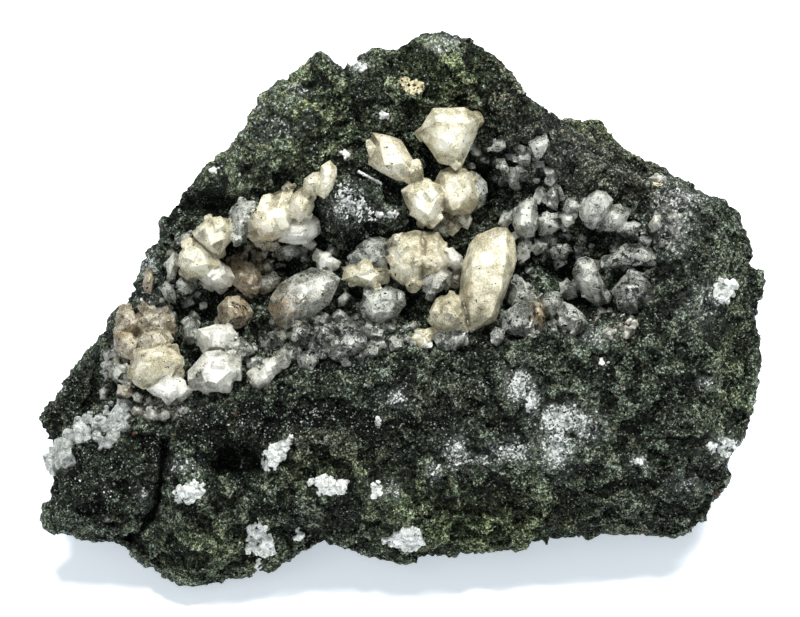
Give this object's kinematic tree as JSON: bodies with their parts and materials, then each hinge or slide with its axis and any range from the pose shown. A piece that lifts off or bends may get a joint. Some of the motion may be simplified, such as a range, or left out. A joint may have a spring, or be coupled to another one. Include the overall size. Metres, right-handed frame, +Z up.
{
  "type": "anorthite crystal specimen",
  "caption": "Piece of dark granular volcanic rock with a hollow lined by cream, white and grey anorthite crystals, resting on a flat foot.",
  "frame": {"origin": "middle of the specimen's box, on the surface that it stands on", "axes": "+X along the width, to the right seen from the display face; +Y to the back; +Z up"},
  "size_m": [0.0687, 0.0418, 0.0365],
  "materials": {
    "dark_rock": "rough, granular, broken",
    "anorthite": "vitreous, cloudy, see-through at thin edges",
    "white_grains": "sugary, matt"
  },
  "bodies": {
    "root": {"matrix": "dark_rock", "crystal_crust": "anorthite", "white_vein": "white_grains", "white_patch_1": "white_grains", "white_patch_2": "white_grains", "white_patch_3": "white_grains", "white_patch_4": "white_grains", "white_patch_5": "white_grains", "white_patch_6": "white_grains"}
  },
  "joints": []
}
